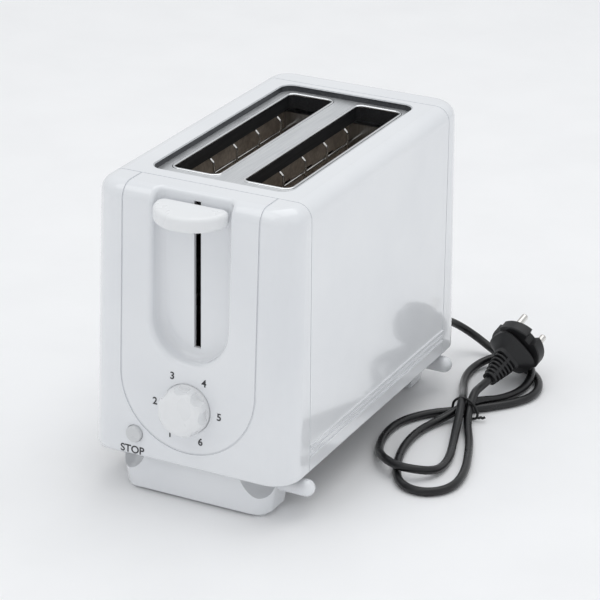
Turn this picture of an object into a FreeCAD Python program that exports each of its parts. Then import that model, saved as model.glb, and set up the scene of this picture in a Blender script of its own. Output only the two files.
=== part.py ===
"""Two-slice pop-up toaster: a parametric assembly of separate pieces, in millimetres.

Frame: +Z up, the rubber pads rest on z = 0, the lever end faces -Y and x = 0 is the middle plane.
The origin is the bottom centre of the toaster's own box, which the lever and the dial reach in
front and the crumb tray's handle reaches behind. The mains lead lies beside it, on the right.
"""
import FreeCAD, Part
import math
import os
import re

import Sketcher
from FreeCAD import Placement, Rotation, Vector

doc = FreeCAD.newDocument("toaster")
sheet = doc.addObject("Spreadsheet::Sheet", "Sizes")

SIZES = [
    # the case
    ("body_width", 140.0), ("body_length", 258.0), ("body_top", 203.0), ("body_under", 28.0),
    ("body_mid", 4.0), ("cap_depth", 29.0), ("wall", 2.4), ("corner_radius", 18.0),
    ("top_radius", 10.0), ("bottom_radius", 2.0), ("end_lean", 6.4), ("side_lean", 1.5),
    ("seam_step", 0.7), ("rib_height", 0.7), ("rib_width", 1.6), ("rib_level", 38.0),
    ("rib_pitch", 3.7),
    # the opening in the top, and the steel tray under it
    ("opening_half", 48.0), ("opening_front", -85.5), ("opening_rear", 98.0),
    ("opening_radius", 9.0), ("tray_level", 198.0), ("tray_rim", 4.4), ("steel", 0.8),
    ("slot_x", 24.5), ("slot_half", 16.0), ("slot_front", -69.5), ("slot_rear", 91.5),
    ("slot_radius", 5.0), ("flange_drop", 9.0),
    # the lever's recess and slot in the front cover
    ("recess_half", 26.0), ("recess_depth", 15.0), ("recess_low", 96.0), ("recess_round", 5.0),
    ("lip_round", 3.0), ("lever_slot", 4.6), ("lever_slot_low", 102.5),
    ("lever_slot_high", 197.5),
    ("groove_half", 46.8), ("groove_low", 37.4), ("groove_width", 1.2), ("groove_depth", 0.8),
    # the lever and the carriage
    ("lever_level", 192.2), ("lever_half", 24.4), ("lever_back", -111.6),
    ("lever_thick", 9.8), ("lever_round", 3.0), ("lever_corner", 6.0), ("arm_thick", 3.0),
    ("arm_height", 7.0),
    ("travel", 70.0), ("carriage_face", -84.0), ("carriage_plate", 2.0),
    ("carriage_low", 118.0), ("carriage_half", 33.0), ("rod_x", 16.0), ("rod_y", -90.0),
    ("rod_radius", 2.0), ("bush_gap", 0.05), ("bush_radius", 5.0), ("spring_x", 28.0),
    ("spring_radius", 3.0), ("rack_level", 128.0), ("rack_half", 8.0), ("rack_front", -66.0),
    ("rack_length", 154.0), ("rack_lip", 6.0), ("rack_sheet", 1.2), ("rack_tooth", 11.0),
    # the toasting chamber
    ("chamber_front", -75.0), ("chamber_rear", 96.0), ("chamber_half", 58.0),
    ("chamber_low", 44.0), ("chamber_high", 184.0), ("front_plate_top", 197.2),
    ("board_thick", 1.0), ("board_x", 48.0), ("board_low", 58.0), ("ribbon_width", 1.4),
    ("ribbon_thick", 0.3), ("wire_radius", 0.9), ("wire_reach", 14.5), ("wire_pitch", 30.6),
    ("wire_first", -48.6), ("wire_low", 50.0), ("wire_high", 190.0),
    # the controls
    ("dial_radius", 15.8), ("dial_level", 67.4), ("dial_depth", 13.4), ("dial_gap", 0.5),
    ("dial_base", 2.2), ("bore_depth", 8.0),
    ("dial_round", 6.0), ("flute_radius", 7.0), ("flute_reach", 20.6), ("flute_low", 3.0),
    ("shaft_radius", 3.0), ("pot_radius", 8.5), ("pot_depth", 9.0), ("board_y", -104.0),
    ("board_half", 50.0), ("board_top", 100.0), ("button_x", -36.2), ("button_level", 42.9),
    ("button_radius", 5.4), ("button_stand", 2.0),
    # the base
    ("foot_top_half", 54.0), ("foot_low_half", 50.0), ("foot_top_front", -118.0),
    ("foot_low_front", -116.0), ("foot_top_back", -88.0), ("foot_low_back", -90.0),
    ("foot_radius", 11.0), ("scoop_x", 50.0), ("scoop_y", -122.0), ("scoop_level", 29.5),
    ("scoop_radius", 17.5), ("pad_height", 2.0), ("pad_radius", 4.0), ("pad_x", 43.0),
    ("pad_y", -109.5), ("lug_y", -99.5), ("lug_level", 20.0), ("lug_tip", 75.5),
    ("lug_radius", 5.5), ("base_thick", 3.0), ("base_gap", 0.2), ("screw_x", 60.0),
    ("screw_y", -80.0), ("screw_radius", 1.6), ("crumb_half", 39.0), ("crumb_low", 31.6),
    ("crumb_wall", 7.0), ("crumb_front", -72.0), ("handle_half", 40.4), ("handle_depth", 6.0),
    # the mains lead
    ("cord_radius", 2.8), ("gland_x", 48.0), ("gland_level", 38.0), ("boot_length", 17.0),
    ("boot_droop", 20.0), ("hank_height", 8.0), ("neck_height", 12.0), ("tie_width", 7.0),
    ("plug_radius", 18.5), ("plug_depth", 19.5), ("plug_tail", 23.5), ("plug_rise", 16.9),
    ("plug_yaw", 7.7), ("plug_roll", 48.0), ("plug_rim", 9.0), ("plug_clear", 0.4),
    ("pin_spacing", 19.0), ("pin_radius", 2.4), ("pin_length", 19.0),
]
for row, (alias, value) in enumerate(SIZES, start=1):
    sheet.set(f"A{row}", alias)
    sheet.set(f"B{row}", str(value))
    sheet.setAlias(f"B{row}", alias)
doc.recompute()

SIZE = dict(SIZES)
FRONT = "(body_mid - body_length / 2)"
REAR = "(body_mid + body_length / 2)"
SEAM_FRONT = "(body_mid - body_length / 2 + cap_depth)"
SEAM_REAR = "(body_mid + body_length / 2 - cap_depth)"
front = SIZE["body_mid"] - SIZE["body_length"] / 2
rear = SIZE["body_mid"] + SIZE["body_length"] / 2
subparts = []


# ---------------------------------------------------------------- helpers
def bound(text):
    """The expression with each sheet name written out, such as Sizes.wall."""
    return re.sub(r"[a-z_]+", lambda m: f"Sizes.{m[0]}" if m[0] in SIZE else m[0], str(text))


def bind(item, **values):
    """Bind properties of a document object to sheet expressions."""
    for name, text in values.items():
        path = {"x": ".Placement.Base.x", "y": ".Placement.Base.y", "z": ".Placement.Base.z"}
        item.setExpression(path.get(name, name), bound(text))
    return item


def box(name, x, y, z, length, width, height):
    """A block from its lowest corner and its sizes along x, y and z, all expressions."""
    item = doc.addObject("Part::Box", name)
    return bind(item, Length=length, Width=width, Height=height, x=x, y=y, z=z)


def slab(name, half, y, z, width, height):
    """A block that is centred on the middle plane."""
    return box(name, f"-({half})", y, z, f"2 * ({half})", width, height)


def drafted(name, halves, fronts, rears, low, high):
    """A block whose half width, front and rear differ between its lower and its upper face."""
    item = doc.addObject("Part::Wedge", name)
    item.Placement = Placement(Vector(), Rotation(Vector(1, 0, 0), 90))
    return bind(item, Ymin=low, Ymax=high,
                Xmin=f"-({halves[0]})", Xmax=halves[0], X2min=f"-({halves[1]})", X2max=halves[1],
                Zmin=f"-({rears[0]})", Zmax=f"-({fronts[0]})",
                Z2min=f"-({rears[1]})", Z2max=f"-({fronts[1]})")


def rod(name, x, y, z, radius, height, along="z"):
    """A cylinder that starts at a point and runs along +x, +y or +z."""
    item = doc.addObject("Part::Cylinder", name)
    turn = {"z": Rotation(), "x": Rotation(Vector(0, 1, 0), 90),
            "y": Rotation(Vector(1, 0, 0), -90)}
    item.Placement = Placement(Vector(), turn[along])
    return bind(item, Radius=radius, Height=height, x=x, y=y, z=z)


def ball(name, x, y, z, radius):
    return bind(doc.addObject("Part::Sphere", name), Radius=radius, x=x, y=y, z=z)


def fuse(name, *pieces):
    item = doc.addObject("Part::MultiFuse", name)
    item.Shapes = list(pieces)
    item.Refine = True
    return item


def cut(name, base, *tools):
    """The base with each tool taken away."""
    item = doc.addObject("Part::Cut", name)
    item.Base = base
    item.Tool = tools[0] if len(tools) == 1 else fuse(name + "_tools", *tools)
    return item


def common(name, first, second):
    item = doc.addObject("Part::Common", name)
    item.Base = first
    item.Tool = second
    return item


def group(name, *pieces):
    """Separate solids that share one node."""
    item = doc.addObject("Part::Compound", name)
    item.Links = list(pieces)
    return item


def rounded(name, base, radius, chosen):
    """The base with a fillet on each edge that chosen(edge) picks."""
    doc.recompute()
    item = doc.addObject("Part::Fillet", name)
    item.Base = base
    value = SIZE.get(radius, radius)
    item.Edges = [(i, value, value) for i, e in enumerate(base.Shape.Edges, 1) if chosen(e)]
    if not item.Edges:
        raise RuntimeError(f"{name}: no edge was chosen")
    return item


def keep(name, item):
    """Make the object a sub-part: its label names its file."""
    item.Label = name
    subparts.append((name, item))
    return item


def solid(name, shape):
    """A sub-part whose shape is worked out in code from the sheet's sizes."""
    item = doc.addObject("Part::Feature", name)
    item.Shape = shape
    return keep(name, item)


def near(value, target):
    return abs(value - target) < 0.01


def upright(edge):
    return near(edge.BoundBox.XLength, 0) and near(edge.BoundBox.YLength, 0)


def flat_at(edge, level):
    return near(edge.BoundBox.ZMin, level) and near(edge.BoundBox.ZMax, level)


def mirrored_y(text):
    """A y expression's mirror image, end for end, in the middle of the case."""
    return f"(2 * body_mid - ({text}))"


# ---------------------------------------------------------------- PartDesign helpers
def new_body(name):
    return doc.addObject("PartDesign::Body", name)


def new_sketch(body, name, role, offset):
    """An empty sketch on one of the body's own origin planes, moved along its normal."""
    sketch = body.newObject("Sketcher::SketchObject", name)
    plane = next(f for f in body.Origin.OriginFeatures if f.Role == role)
    sketch.AttachmentSupport = (plane, [""])
    sketch.MapMode = "FlatFace"
    sketch.setExpression(".AttachmentOffset.Base.z", bound(offset))
    return sketch


def drive(sketch, kind, points, text):
    """A dimension that follows the sheet."""
    index = sketch.addConstraint(Sketcher.Constraint(kind, *points, 1.0))
    sketch.setExpression(f"Constraints[{index}]", bound(text))


def rectangle(sketch, low_x, low_y, width, height):
    corners = [Vector(1, 1, 0), Vector(2, 1, 0), Vector(2, 2, 0), Vector(1, 2, 0)]
    for start, end in zip(corners, corners[1:] + corners[:1]):
        sketch.addGeometry(Part.LineSegment(start, end), False)
    for i in range(4):
        sketch.addConstraint(Sketcher.Constraint("Coincident", i, 2, (i + 1) % 4, 1))
    for i, kind in enumerate(["Horizontal", "Vertical", "Horizontal", "Vertical"]):
        sketch.addConstraint(Sketcher.Constraint(kind, i))
    drive(sketch, "DistanceX", (-1, 1, 0, 1), low_x)
    drive(sketch, "DistanceY", (-1, 1, 0, 1), low_y)
    drive(sketch, "DistanceX", (0, 1, 0, 2), width)
    drive(sketch, "DistanceY", (1, 1, 1, 2), height)
    return sketch


def circle(sketch, radius, x=None):
    """A circle on the origin, or at x on the horizontal axis."""
    place = Vector(5 if x else 0, 0, 0)
    sketch.addGeometry(Part.Circle(place, Vector(0, 0, 1), 1.0), False)
    if x:
        sketch.addConstraint(Sketcher.Constraint("PointOnObject", 0, 3, -1))
        drive(sketch, "DistanceX", (-1, 1, 0, 3), x)
    else:
        sketch.addConstraint(Sketcher.Constraint("Coincident", 0, 3, -1, 1))
    drive(sketch, "Radius", (0,), radius)
    return sketch


def pad(body, name, sketch, length, backwards=False):
    item = body.newObject("PartDesign::Pad", name)
    item.Profile = sketch
    item.Reversed = backwards
    return bind(item, Length=length)


def pocket(body, name, sketch, length, backwards=False):
    """A pocket that is checked to have cut something."""
    doc.recompute()
    before = body.Shape.Volume
    item = body.newObject("PartDesign::Pocket", name)
    item.Profile = sketch
    item.Reversed = backwards
    bind(item, Length=length)
    doc.recompute()
    if body.Shape.Volume > before - 0.01:
        raise RuntimeError(f"{name} cuts nothing")
    return item


def body_fillet(body, name, radius, chosen):
    doc.recompute()
    feature = body.Tip
    item = body.newObject("PartDesign::Fillet", name)
    edges = [f"Edge{i}" for i, e in enumerate(feature.Shape.Edges, 1) if chosen(e)]
    item.Base = (feature, edges)
    return bind(item, Radius=radius)


# ---------------------------------------------------------------- the end covers and the shell
def cap_block(name, end, inset="0", over="0"):
    """One end of the case as a rounded block, or its inside, which runs over the open sides."""
    drop = SIZE.get(inset, 0.0)
    half = f"body_width / 2 - {inset}"
    if end == "front":
        fronts = (f"{FRONT} + {inset}", f"{FRONT} + end_lean + {inset}")
        rears = (f"{SEAM_FRONT} + {over}",) * 2
    else:
        fronts = (f"{SEAM_REAR} - {over}",) * 2
        rears = (f"{REAR} - {inset}", f"{REAR} - end_lean - {inset}")
    block = drafted(name + "_block", (half, f"{half} - side_lean"), fronts, rears,
                    f"body_under - {over}", f"body_top - {inset}")
    doc.recompute()
    b = block.Shape.BoundBox
    seam = b.YMax if end == "front" else b.YMin

    def on_seam(edge):
        return near(edge.BoundBox.YMin, seam) and near(edge.BoundBox.YMax, seam)

    def corner(edge):
        return edge.BoundBox.ZLength > 1 and not on_seam(edge)

    def around(level):
        return lambda edge: flat_at(edge, level) and not on_seam(edge)

    sides = rounded(name + "_sides", block, SIZE["corner_radius"] - drop, corner)
    upper = rounded(name + "_upper", sides, SIZE["top_radius"] - drop, around(b.ZMax))
    return upper if over != "0" else rounded(name, upper, "bottom_radius", around(b.ZMin))


def u_prism(name, half, low, high, start, depth):
    """A prism along y whose outline is a slot with a round lower end."""
    straight = slab(name + "_straight", half, start, f"{low} + {half}", depth,
                    f"{high} - ({low}) - ({half})")
    end = rod(name + "_end", "0", start, f"{low} + {half}", half, depth, "y")
    return fuse(name, straight, end)


def front_cover():
    """The lever end: a recess that is open at the top, its slot, and holes for dial and button."""
    inside = cap_block("front_inside", "front", "wall", "1")
    trough = u_prism("front_trough", "recess_half + wall", "recess_low - wall", "body_top",
                     FRONT, "recess_depth + wall")
    hollow = cut("front_hollow", inside, trough)

    block = u_prism("front_recess_block", "recess_half", "recess_low", "body_top + 5",
                    f"{FRONT} - 5", "recess_depth + 5")
    deepest = front + SIZE["recess_depth"]

    def back_edge(edge):
        b = edge.BoundBox
        return near(b.YMin, deepest) and near(b.YMax, deepest) and b.ZMin < SIZE["body_top"]

    recess = rounded("front_recess", block, "recess_round", back_edge)
    outer = cap_block("front_outer", "front")
    blank = cut("front_blank", outer, recess)

    def lip(edge):
        """The edges where the recess meets the outside of the cover."""
        middle = edge.valueAt((edge.FirstParameter + edge.LastParameter) / 2)
        return all(near(Part.Vertex(middle).distToShape(item.Shape.Shells[0])[0], 0)
                   for item in (outer, recess))

    soft = rounded("front_soft", blank, "lip_round", lip)
    slot = slab("front_slot", "lever_slot / 2", FRONT, "lever_slot_low", "cap_depth",
                "lever_slot_high - lever_slot_low")
    dial = rod("front_dial_seat", "0", f"{FRONT} - 1", "dial_level", "dial_radius + dial_gap",
               "dial_base + 1.3", "y")
    shaft = rod("front_shaft_hole", "0", f"{FRONT} - 1", "dial_level", "shaft_radius + 0.6",
                "8", "y")
    button = rod("front_button_hole", "button_x", f"{FRONT} - 1", "button_level",
                 "button_radius + 0.3", "8", "y")
    skin = cut("front_skin", cap_block("front_skin_outer", "front"),
               cap_block("front_skin_inner", "front", "groove_depth"))
    ring = cut("front_ring",
               u_prism("front_ring_outer", "groove_half", "groove_low", "body_top + 5",
                       f"{FRONT} - 1", "cap_depth + 1"),
               u_prism("front_ring_inner", "groove_half - groove_width",
                       "groove_low + groove_width", "body_top + 6", f"{FRONT} - 2",
                       "cap_depth + 3"))
    groove = common("front_groove", skin, ring)
    cover = cut("front_cover_solid", soft, hollow, slot, dial, shaft, button, groove)
    return keep("front_cover", cover)


def rear_cover():
    """The plain end, with the mouth for the crumb tray and the hole for the lead."""
    mouth = slab("rear_mouth", "crumb_half + 0.6", SEAM_REAR, "crumb_low - 0.5", "cap_depth + 1",
                 "crumb_wall + 1")
    hole = rod("rear_gland_hole", "gland_x", f"{REAR} - 6", "gland_level", "cord_radius + 2.7",
               "8", "y")
    cover = cut("rear_cover_solid", cap_block("rear_outer", "rear"),
                cap_block("rear_inside", "rear", "wall", "1"), mouth, hole)
    return keep("rear_cover", cover)


def body_shell():
    """Sides and top in one piece, stepped in at both seams, ribbed outside, bossed inside."""
    length = "body_length - 2 * cap_depth"

    def arch(name, inset, over, trim="0"):
        half = f"body_width / 2 - {inset}"
        block = drafted(name + "_block", (half, f"{half} - side_lean"),
                        (f"{SEAM_FRONT} - {over} + {trim}",) * 2,
                        (f"{SEAM_REAR} + {over} - {trim}",) * 2,
                        f"body_under - {over}", f"body_top - {inset}")
        doc.recompute()
        b = block.Shape.BoundBox
        radius = SIZE["top_radius"] - SIZE.get(inset, 0.0)
        return rounded(name, block, radius,
                       lambda e: flat_at(e, b.ZMax) and near(e.BoundBox.XLength, 0))

    def skirted(name, inset, trim):
        return rounded(name + "_low", arch(name, inset, "0", trim), "bottom_radius",
                       lambda e: flat_at(e, SIZE["body_under"]) and near(e.BoundBox.XLength, 0))

    opening = slab("shell_opening_block", "opening_half", "opening_front", "body_top - 8",
                   "opening_rear - opening_front", "16")
    opening = rounded("shell_opening", opening, "opening_radius", upright)
    outer = fuse("shell_stepped", skirted("shell_outer", "0", "seam_step"),
                 skirted("shell_core", "seam_step", "0"))
    pieces = [cut("shell_arch", outer, arch("shell_inner", "wall", "1"), opening)]
    for side in (-1, 1):
        for i in range(3):
            start = "body_width / 2 - 1" if side > 0 else "-body_width / 2 - rib_height"
            pieces.append(box(f"shell_rib_{i}_{side + 1}", start, f"{SEAM_FRONT} + 1",
                              f"rib_level + {i} * rib_pitch", "1 + rib_height",
                              f"{length} - 2", "rib_width"))
        for end, y in (("front", "screw_y"), ("rear", mirrored_y("screw_y"))):
            start = "screw_x - 4" if side > 0 else "wall - body_width / 2 - 0.5"
            pieces.append(box(f"shell_boss_{end}_{side + 1}", start, f"{y} - 4",
                              "body_under + base_thick",
                              "body_width / 2 - wall + 0.5 - screw_x + 4", "8", "12"))
    holes = [rod(f"shell_hole_{i}", x, y, "body_under", "screw_radius - 0.2", "13")
             for i, (x, y) in enumerate(screw_places())]
    return keep("body_shell", cut("body_shell_solid", fuse("shell_solid", *pieces), *holes))


def screw_places():
    rows = ("screw_y", mirrored_y("screw_y"))
    return [(x, y) for x in ("-screw_x", "screw_x") for y in rows]


# ---------------------------------------------------------------- the base
def base_plate():
    """The floor of the case, inside the covers and flush with their lower edge."""
    body = new_body("base_plate_body")
    half = "body_width / 2 - wall - base_gap"
    sketch = new_sketch(body, "base_outline", "XY_Plane", "body_under")
    rectangle(sketch, f"-({half})", f"{FRONT} + wall + base_gap", f"2 * ({half})",
              "body_length - 2 * wall - 2 * base_gap")
    pad(body, "base_pad", sketch, "base_thick")
    body_fillet(body, "base_corners", "corner_radius - wall - base_gap", upright)
    holes = [rod(f"base_hole_{i}", x, y, "body_under - 1", "screw_radius + 0.1", "6")
             for i, (x, y) in enumerate(screw_places())]
    return keep("base_plate", cut("base_plate_solid", body, *holes))


def foot(name, end):
    """A hull-shaped foot across one end, scooped at its corners, with a lug on each side."""
    flip = (lambda y: y) if end == "front" else mirrored_y
    outline = []
    for level, half, tip, back in (("pad_height", "foot_low_half", "foot_low_front",
                                    "foot_low_back"),
                                   ("body_under", "foot_top_half", "foot_top_front",
                                    "foot_top_back")):
        plane = doc.addObject("Part::Plane", f"{name}_{level}")
        low = tip if end == "front" else mirrored_y(back)
        bind(plane, Length=f"2 * {half}", Width=f"{back} - ({tip})", x=f"-{half}", y=low,
             z=level)
        outline.append(plane)
    loft = doc.addObject("Part::Loft", name + "_hull")
    loft.Sections = outline
    loft.Solid = True
    doc.recompute()
    nose = loft.Shape.BoundBox.YMin if end == "front" else loft.Shape.BoundBox.YMax

    def corner(edge):
        ends = [v.Point for v in edge.Vertexes]
        rises = abs(ends[0].z - ends[1].z) > 1
        return rises and min(abs(p.y - nose) for p in ends) < 1

    pieces = [rounded(name + "_round", loft, "foot_radius", corner)]
    scoops = []
    for side, sign in (("left", "-"), ("right", "")):
        scoops.append(ball(f"{name}_scoop_{side}", f"{sign}scoop_x", flip("scoop_y"),
                           "scoop_level", "scoop_radius"))
    hull = cut(name + "_scooped", pieces[0], *scoops)
    lug = rod(name + "_lug", "lug_radius - lug_tip", flip("lug_y"), "lug_level", "lug_radius",
              "2 * lug_tip - 2 * lug_radius", "x")
    ends = [ball(f"{name}_lug_end_{i}", x, flip("lug_y"), "lug_level", "lug_radius")
            for i, x in enumerate(("lug_radius - lug_tip", "lug_tip - lug_radius"))]
    return keep(name, fuse(name + "_solid", hull, lug, *ends))


def foot_pads():
    pads = []
    for sign in ("-", ""):
        for end, y in (("front", "pad_y"), ("rear", mirrored_y("pad_y"))):
            pads.append(rod(f"pad_{end}_{sign or '+'}", f"{sign}pad_x", y, "0", "pad_radius",
                            "pad_height"))
    return keep("foot_pads", group("foot_pads_group", *pads))


def base_screws():
    screws = []
    for i, (x, y) in enumerate(screw_places()):
        head = rod(f"screw_head_{i}", x, y, "body_under - 2.2", "3.2", "2.2")
        shank = rod(f"screw_shank_{i}", x, y, "body_under", "screw_radius", "12")
        screws.append(fuse(f"screw_{i}", head, shank))
    return keep("base_screws", group("base_screws_group", *screws))


def crumb_tray():
    """A shallow drawer under the chamber, open above, that slides out at the rear."""
    body = new_body("crumb_tray_body")
    length = f"{REAR} - (crumb_front)"
    outline = new_sketch(body, "crumb_outline", "XY_Plane", "crumb_low")
    rectangle(outline, "-crumb_half", "crumb_front", "2 * crumb_half", length)
    pad(body, "crumb_pad", outline, "crumb_wall")
    inner = new_sketch(body, "crumb_inner", "XY_Plane", "crumb_low + crumb_wall")
    rectangle(inner, "steel - crumb_half", "crumb_front + steel", "2 * crumb_half - 2 * steel",
              f"{length} - 2 * steel")
    pocket(body, "crumb_pocket", inner, "crumb_wall - steel")
    return keep("crumb_tray", body)


def crumb_handle():
    """The moulded front of the tray, with a finger hollow along its underside."""
    block = slab("handle_block", "handle_half", REAR, "crumb_low - 1.6", "handle_depth",
                 "crumb_wall + 4")
    soft = rounded("handle_soft", block, 2.0,
                   lambda e: near(e.BoundBox.YMin, rear + SIZE["handle_depth"]))
    hollow = rod("handle_hollow", "-22", f"{REAR} + 2.4", "crumb_low - 2.6", "3.2", "44", "x")
    return keep("crumb_tray_handle", cut("handle_solid", soft, hollow))


# ---------------------------------------------------------------- the toasting chamber
def top_plate():
    """The pressed steel tray in the opening, with a turned-down flange round each bread slot."""
    length = "(opening_rear - opening_front)"
    outer = rounded("tray_outer", slab("tray_block", "opening_half", "opening_front",
                                       "tray_level", length, "tray_rim"),
                    "opening_radius", upright)
    hollow = slab("tray_hollow_block", "opening_half - steel", "opening_front + steel",
                  "tray_level + steel", f"{length} - 2 * steel", "tray_rim")
    pieces = [cut("tray_pan", outer, rounded("tray_hollow", hollow,
                                             SIZE["opening_radius"] - SIZE["steel"], upright))]
    slots = []
    for side, sign in (("left", "-"), ("right", "")):
        def tube(name, grow, low, height, side=side, sign=sign):
            block = box(f"{name}_block_{side}", f"{sign}slot_x - slot_half - {grow}",
                        f"slot_front - {grow}", low, f"2 * slot_half + 2 * {grow}",
                        f"slot_rear - slot_front + 2 * {grow}", height)
            return rounded(f"{name}_{side}", block, SIZE["slot_radius"] + SIZE.get(grow, 0),
                           upright)
        pieces.append(tube("flange", "steel", "tray_level - flange_drop",
                           "flange_drop + steel"))
        slots.append(tube("slot", "0", "tray_level - flange_drop - 1", "flange_drop + 4"))
    return keep("top_plate", cut("top_plate_solid", fuse("tray_solid", *pieces), *slots))


def end_plates():
    """The chamber's two steel ends, on legs beside the crumb tray."""
    for name, y, top in (("front", "chamber_front", "front_plate_top"),
                         ("rear", "chamber_rear", "chamber_high")):
        pieces = [slab(f"{name}_end_sheet", "chamber_half", y, "chamber_low", "steel",
                       f"{top} - chamber_low")]
        for side, x in (("left", "-56"), ("right", "46")):
            pieces.append(box(f"{name}_end_leg_{side}", x, y, "body_under + base_thick", "10",
                              "steel", "chamber_low - body_under - base_thick + 1"))
        if name == "rear":
            keep("rear_end_plate", fuse("rear_end_solid", *pieces))
            continue
        pieces.append(slab("front_end_flange", "carriage_half", "rod_y - 7",
                           "front_plate_top - steel", "chamber_front + steel - rod_y + 7",
                           "steel"))
        windows = [box(f"front_end_window_{side}", f"{sign}slot_x - 3", f"{y} - 1",
                       "chamber_low - 1", "6", "3", "rack_level - chamber_low + 3")
                   for side, sign in (("left", "-"), ("right", ""))]
        keep("front_end_plate", cut("front_end_solid", fuse("front_end", *pieces), *windows))


def heat_shields():
    for name, x in (("left", "-chamber_half"), ("right", "chamber_half - steel")):
        keep(f"heat_shield_{name}",
             box(f"shield_{name}", x, "chamber_front + steel", "chamber_low", "steel",
                 "chamber_rear - chamber_front - steel", "chamber_high - chamber_low"))


def heater_boards():
    """Three insulating boards, each with flat resistance ribbon wound round it."""
    span = "chamber_rear - chamber_front - steel"
    for name, x in (("left", "-board_x"), ("centre", "0"), ("right", "board_x")):
        keep(f"heater_board_{name}",
             box(f"board_{name}", f"{x} - board_thick / 2", "chamber_front + steel",
                 "board_low", "board_thick", span, "chamber_high - board_low"))
        faces = {"left": (1,), "centre": (-1, 1), "right": (-1,)}[name]
        turns = []
        for face in faces:
            edge = "board_thick / 2" if face > 0 else "-board_thick / 2 - ribbon_thick"
            for i in range(8):
                turns.append(box(f"ribbon_{name}_{face + 1}_{i}", f"{x} + {edge}",
                                 "chamber_front + 8", f"board_low + 10 + {i} * 14",
                                 "ribbon_thick", "chamber_rear - chamber_front - 14",
                                 "ribbon_width"))
        keep(f"heater_ribbon_{name}", group(f"ribbon_{name}_group", *turns))


def guard_wires():
    """On both sides of each slot, five upright wires welded to two lengthwise rods."""
    for slot, sign in (("left", "-"), ("right", "")):
        for wall, reach in (("outer", 1), ("inner", -1)):
            away = reach if slot == "right" else -reach
            x = f"{sign}slot_x + {away} * wire_reach"
            wires = [rod(f"wire_{slot}_{wall}_{i}", x, f"wire_first + {i} * wire_pitch",
                         "wire_low", "wire_radius", "wire_high - wire_low") for i in range(5)]
            for end, level in (("low", "wire_low + 6"), ("high", "wire_high - 13")):
                wires.append(rod(f"rail_{slot}_{wall}_{end}",
                                 f"{x} + {away} * 1.5 * wire_radius", "chamber_front + steel",
                                 level, "wire_radius", "chamber_rear - chamber_front - steel",
                                 "y"))
            keep(f"guard_wires_{slot}_{wall}", fuse(f"guard_{slot}_{wall}", *wires))


# ---------------------------------------------------------------- the carriage and the lever
def bread_rack(side, sign):
    """A channel of sheet steel whose lips are cut into teeth, which carries one slice."""
    body = new_body(f"rack_body_{side}")
    profile = new_sketch(body, f"rack_outline_{side}", "XY_Plane", "rack_level")
    rectangle(profile, f"{sign}slot_x - rack_half", "rack_front", "2 * rack_half", "rack_length")
    pad(body, f"rack_pad_{side}", profile, "rack_lip")
    channel = new_sketch(body, f"rack_channel_{side}", "XY_Plane", "rack_level + rack_lip")
    rectangle(channel, f"{sign}slot_x - rack_half + rack_sheet", "rack_front - 1",
              "2 * rack_half - 2 * rack_sheet", "rack_length + 2")
    pocket(body, f"rack_hollow_{side}", channel, "rack_lip - rack_sheet")
    gap = new_sketch(body, f"rack_gap_{side}", "XY_Plane", "rack_level + rack_lip")
    rectangle(gap, f"{sign}slot_x - rack_half - 1", "rack_front + rack_tooth / 2",
              "2 * rack_half + 2", "rack_tooth / 2")
    notch = pocket(body, f"rack_notch_{side}", gap, "rack_lip - rack_sheet - 1")
    pattern = body.newObject("PartDesign::LinearPattern", f"rack_teeth_{side}")
    pattern.Originals = [notch]
    pattern.Direction = (gap, ["V_Axis"])
    pattern.Occurrences = 14
    bind(pattern, Length="13 * rack_tooth")
    body.Tip = pattern
    return keep(f"bread_rack_{side}", body)


def carriage():
    """The bracket on the guide rod: it joins both racks, the armature and the lever's arm."""
    plate = slab("carriage_sheet", "carriage_half", "carriage_face", "carriage_low",
                 "carriage_plate", "lever_level + arm_height / 2 - carriage_low")
    arm = slab("carriage_arm", "arm_thick / 2", f"{FRONT} + 7",
               "lever_level - arm_height / 2", f"carriage_face - {FRONT} - 7 + 1",
               "arm_height")
    web = box("carriage_web", "rod_x - 2", "rod_y + rod_radius + 1", "carriage_low - 6", "4",
              "carriage_face - rod_y - rod_radius", "30")
    bush = rod("carriage_bush", "rod_x", "rod_y", "carriage_low - 6", "bush_radius", "30")
    tab = box("carriage_tab", "spring_x - spring_radius", "rod_y - spring_radius",
              "carriage_low + 16", "2 * spring_radius",
              "carriage_face - rod_y + spring_radius + 1", "2")
    pieces = [plate, arm, web, bush, tab]
    for side, sign in (("left", "-"), ("right", "")):
        pieces.append(box(f"carriage_finger_{side}", f"{sign}slot_x - 2",
                          "carriage_face + carriage_plate / 2", "rack_level - 8", "4", "44",
                          "8"))
    bore = rod("carriage_bore", "rod_x", "rod_y", "carriage_low - 8", "rod_radius + bush_gap",
               "40")
    keep("carriage_bracket", cut("carriage_solid", fuse("carriage_shape", *pieces), bore))
    keep("armature_plate", box("armature", "-30", "carriage_face - 15", "carriage_low + 6",
                               "16", "15", "2.4"))
    keep("guide_rod", rod("guide", "rod_x", "rod_y", "body_under + base_thick", "rod_radius",
                          "front_plate_top - steel - body_under - base_thick"))
    outer = rod("spring_outer", "spring_x", "rod_y", "carriage_low + 18", "spring_radius",
                "front_plate_top - steel - carriage_low - 18")
    inner = rod("spring_inner", "spring_x", "rod_y", "carriage_low + 17", "spring_radius - 0.8",
                "front_plate_top - steel - carriage_low - 16")
    keep("carriage_spring", cut("spring_tube", outer, inner))


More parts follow.
